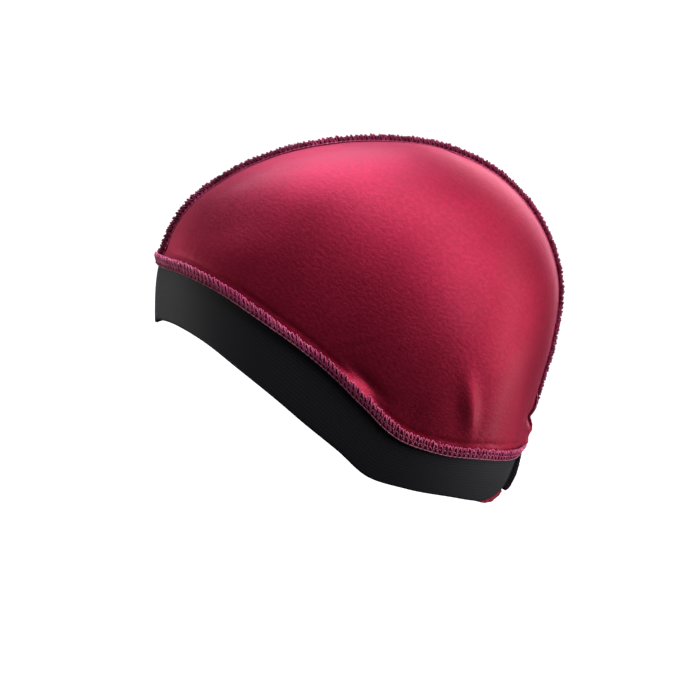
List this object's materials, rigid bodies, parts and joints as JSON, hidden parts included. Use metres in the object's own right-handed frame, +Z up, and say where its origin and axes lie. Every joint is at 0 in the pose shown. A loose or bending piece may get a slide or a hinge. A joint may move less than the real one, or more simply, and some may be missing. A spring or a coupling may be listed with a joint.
{
  "type": "wave cap",
  "caption": "Close-fitting satin wave cap: two crown panels joined by a raised overlocked seam, a wide elastic band with turned-out ends and an overlocked edge.",
  "frame": {"origin": "the point inside the crown that the top of the head touches, straight above the middle of the rim plane", "axes": "+Z up as on an upright head, -Y out of the forehead, +Y out of the nape, +X out of the wearer's left ear"},
  "size_m": [0.1534, 0.1937, 0.1707],
  "materials": {
    "satin": "glossy wine-red stretch satin with a fine grain",
    "seam_thread": "overlocked polyester thread over cut satin",
    "elastic": "matt black knitted elastic with fine lengthwise ribs"
  },
  "bodies": {
    "root": {"crown_left": "satin", "crown_right": "satin", "crown_seam": "seam_thread", "rim_seam": "seam_thread", "band": "elastic", "nape_tuck": "satin"}
  },
  "joints": []
}
